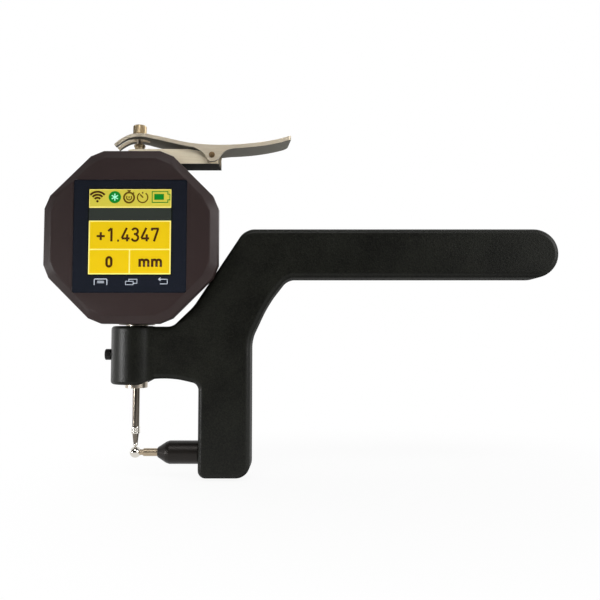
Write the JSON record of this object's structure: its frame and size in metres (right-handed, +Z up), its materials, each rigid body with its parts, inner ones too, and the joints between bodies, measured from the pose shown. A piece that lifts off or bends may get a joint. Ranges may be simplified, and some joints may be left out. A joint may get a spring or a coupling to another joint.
{
  "type": "digital thickness gauge",
  "caption": "Hand-held thickness gauge: an octagonal touch-screen indicator with a lifting lever on a black cast C-frame with a long handle, over a ball-ended anvil.",
  "frame": {"origin": "middle of the grip, on the centre line of the handle", "axes": "+X along the handle, away from the measuring point; +Y out of the back, away from the display; +Z up, the way the spindle lifts"},
  "size_m": [0.1823, 0.0246, 0.1285],
  "materials": {
    "frame_paint": "orange-peel textured black paint",
    "black_steel": "black oxide",
    "black_anodised": "black anodised, matte",
    "bezel": "fine satin dark paint",
    "case_black": "satin black",
    "nickel": "dull nickel plate",
    "steel": "ground",
    "brass": "plain",
    "carbide": "polished carbide",
    "glass": "dark tinted cover glass",
    "screen": "lit yellow display",
    "rubber": "matte",
    "board": "solder mask",
    "cell": "foil",
    "scale_glass": "clear with a ruled grating",
    "acetal": "natural"
  },
  "bodies": {
    "gauge": {"frame": "frame_paint", "stem_clamp_screw": "black_steel", "stem_clamp_pad": "brass", "anvil_holder": "black_anodised", "anvil_pin": "steel", "anvil_ball": "carbide", "anvil_set_screw": "black_steel", "front_housing": "bezel", "display_glass": "glass", "display_gasket": "rubber", "display_panel": "screen", "rear_housing": "case_black", "rear_cover": "case_black", "cover_screw_upper_left": "black_steel", "cover_screw_upper_right": "black_steel", "cover_screw_lower_left": "black_steel", "cover_screw_lower_right": "black_steel", "main_board": "board", "board_screw_left": "steel", "board_screw_right": "steel", "battery": "cell", "reading_head": "black_anodised", "guide_rail": "acetal", "stem": "steel", "stem_nut": "steel", "lower_bush": "brass", "upper_bush": "nickel", "bracket_nut": "nickel", "return_spring": "steel", "lever_bracket": "nickel", "lever_pin": "brass"},
    "spindle": {"spindle": "steel", "extension_rod": "steel", "contact_point": "steel", "contact_ball": "carbide", "scale_carrier": "nickel", "glass_scale": "scale_glass", "guide_pin": "steel", "lifting_cap": "nickel"},
    "lever": {"lift_lever": "nickel"}
  },
  "joints": [
    {"name": "spindle_slide", "type": "slide", "parent": "gauge", "child": "spindle", "axis": [0, 0, 1], "range_m": [0, 0.009], "stiffness_N_per_m": 60, "springref_m": -0.008, "deforming": ["return_spring"]},
    {"name": "lever_hinge", "type": "hinge", "parent": "gauge", "child": "lever", "pos_m": [-0.0757, 0, 0.03565], "axis": [0, 1, 0], "range_deg": [0, 20]}
  ],
  "couplings": [
    {"joint": "lever_hinge", "follows": "spindle_slide", "rad_per_m": 38.397}
  ]
}
